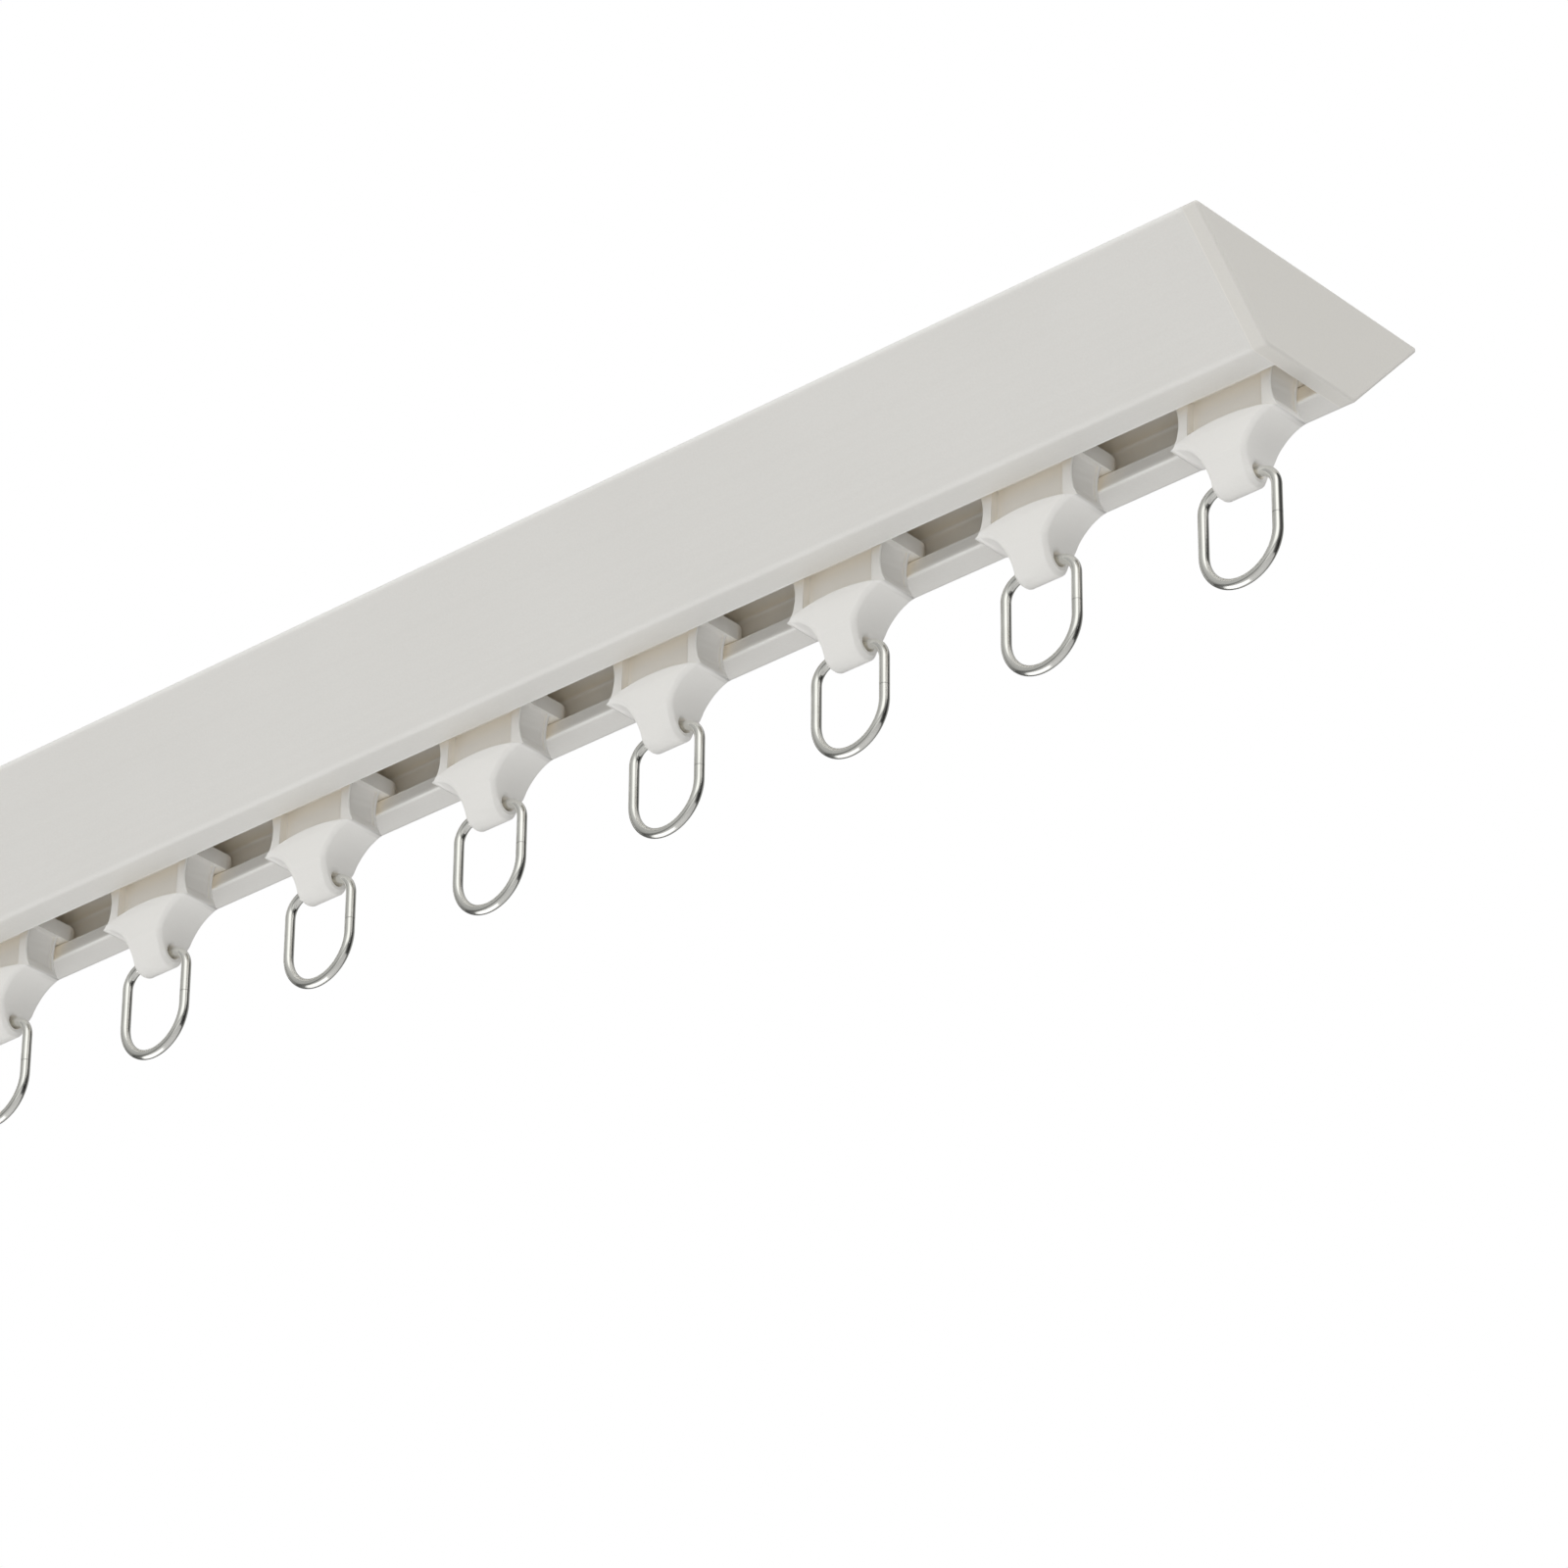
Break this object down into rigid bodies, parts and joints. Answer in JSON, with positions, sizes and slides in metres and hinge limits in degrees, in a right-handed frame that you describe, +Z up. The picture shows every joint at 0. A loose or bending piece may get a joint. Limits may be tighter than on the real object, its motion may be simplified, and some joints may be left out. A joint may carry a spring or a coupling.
{
  "type": "curtain track",
  "caption": "Short ceiling curtain track: hollow trapezoid rail with flush end caps and self-adhesive tape on top, and sliding gliders that each carry a swinging oval wire ring.",
  "frame": {"origin": "middle of the top face of the release liner, the face that goes to the ceiling", "axes": "+X along the track towards its right end as seen from the front, +Z up towards the ceiling, -Y towards the viewer of the front side"},
  "size_m": [0.2784, 0.0398, 0.0381],
  "materials": {
    "track_plastic": "satin, fine grain",
    "cap_plastic": "satin, fine grain",
    "glider_plastic": "satin, moulded",
    "ring_steel": "polished plating",
    "tape": "matt foam",
    "liner": "soft sheen"
  },
  "bodies": {
    "track": {"track_profile": "track_plastic", "end_cap_right": "cap_plastic", "end_cap_left": "cap_plastic", "adhesive_tape": "tape", "release_liner": "liner"},
    "carrier_01": {"glider_01": "glider_plastic"},
    "hanger_01": {"ring_01": "ring_steel"},
    "carrier_02": {"glider_02": "glider_plastic"},
    "hanger_02": {"ring_02": "ring_steel"},
    "carrier_03": {"glider_03": "glider_plastic"},
    "hanger_03": {"ring_03": "ring_steel"},
    "carrier_04": {"glider_04": "glider_plastic"},
    "hanger_04": {"ring_04": "ring_steel"},
    "carrier_05": {"glider_05": "glider_plastic"},
    "hanger_05": {"ring_05": "ring_steel"},
    "carrier_06": {"glider_06": "glider_plastic"},
    "hanger_06": {"ring_06": "ring_steel"},
    "carrier_07": {"glider_07": "glider_plastic"},
    "hanger_07": {"ring_07": "ring_steel"},
    "carrier_08": {"glider_08": "glider_plastic"},
    "hanger_08": {"ring_08": "ring_steel"},
    "carrier_09": {"glider_09": "glider_plastic"},
    "hanger_09": {"ring_09": "ring_steel"},
    "carrier_10": {"glider_10": "glider_plastic"},
    "hanger_10": {"ring_10": "ring_steel"}
  },
  "joints": [
    {"name": "glider_01_slide", "type": "slide", "parent": "track", "child": "carrier_01", "axis": [1, 0, 0], "range_m": [-0.00075, 0.0132]},
    {"name": "ring_01_swing", "type": "hinge", "parent": "carrier_01", "child": "hanger_01", "pos_m": [-0.1287, 0, -0.02432], "axis": [1, 0, 0], "range_deg": [-136, 136]},
    {"name": "glider_02_slide", "type": "slide", "parent": "track", "child": "carrier_02", "axis": [1, 0, 0], "range_m": [-0.0132, 0.0132]},
    {"name": "ring_02_swing", "type": "hinge", "parent": "carrier_02", "child": "hanger_02", "pos_m": [-0.1001, 0, -0.02432], "axis": [1, 0, 0], "range_deg": [-136, 136]},
    {"name": "glider_03_slide", "type": "slide", "parent": "track", "child": "carrier_03", "axis": [1, 0, 0], "range_m": [-0.0132, 0.0132]},
    {"name": "ring_03_swing", "type": "hinge", "parent": "carrier_03", "child": "hanger_03", "pos_m": [-0.0715, 0, -0.02432], "axis": [1, 0, 0], "range_deg": [-136, 136]},
    {"name": "glider_04_slide", "type": "slide", "parent": "track", "child": "carrier_04", "axis": [1, 0, 0], "range_m": [-0.0132, 0.0132]},
    {"name": "ring_04_swing", "type": "hinge", "parent": "carrier_04", "child": "hanger_04", "pos_m": [-0.0429, 0, -0.02432], "axis": [1, 0, 0], "range_deg": [-136, 136]},
    {"name": "glider_05_slide", "type": "slide", "parent": "track", "child": "carrier_05", "axis": [1, 0, 0], "range_m": [-0.0132, 0.0132]},
    {"name": "ring_05_swing", "type": "hinge", "parent": "carrier_05", "child": "hanger_05", "pos_m": [-0.0143, 0, -0.02432], "axis": [1, 0, 0], "range_deg": [-136, 136]},
    {"name": "glider_06_slide", "type": "slide", "parent": "track", "child": "carrier_06", "axis": [1, 0, 0], "range_m": [-0.0132, 0.0132]},
    {"name": "ring_06_swing", "type": "hinge", "parent": "carrier_06", "child": "hanger_06", "pos_m": [0.0143, 0, -0.02432], "axis": [1, 0, 0], "range_deg": [-136, 136]},
    {"name": "glider_07_slide", "type": "slide", "parent": "track", "child": "carrier_07", "axis": [1, 0, 0], "range_m": [-0.0132, 0.0132]},
    {"name": "ring_07_swing", "type": "hinge", "parent": "carrier_07", "child": "hanger_07", "pos_m": [0.0429, 0, -0.02432], "axis": [1, 0, 0], "range_deg": [-136, 136]},
    {"name": "glider_08_slide", "type": "slide", "parent": "track", "child": "carrier_08", "axis": [1, 0, 0], "range_m": [-0.0132, 0.0132]},
    {"name": "ring_08_swing", "type": "hinge", "parent": "carrier_08", "child": "hanger_08", "pos_m": [0.0715, 0, -0.02432], "axis": [1, 0, 0], "range_deg": [-136, 136]},
    {"name": "glider_09_slide", "type": "slide", "parent": "track", "child": "carrier_09", "axis": [1, 0, 0], "range_m": [-0.0132, 0.0132]},
    {"name": "ring_09_swing", "type": "hinge", "parent": "carrier_09", "child": "hanger_09", "pos_m": [0.1001, 0, -0.02432], "axis": [1, 0, 0], "range_deg": [-136, 136]},
    {"name": "glider_10_slide", "type": "slide", "parent": "track", "child": "carrier_10", "axis": [1, 0, 0], "range_m": [-0.0132, 0.00075]},
    {"name": "ring_10_swing", "type": "hinge", "parent": "carrier_10", "child": "hanger_10", "pos_m": [0.1287, 0, -0.02432], "axis": [1, 0, 0], "range_deg": [-136, 136]}
  ]
}
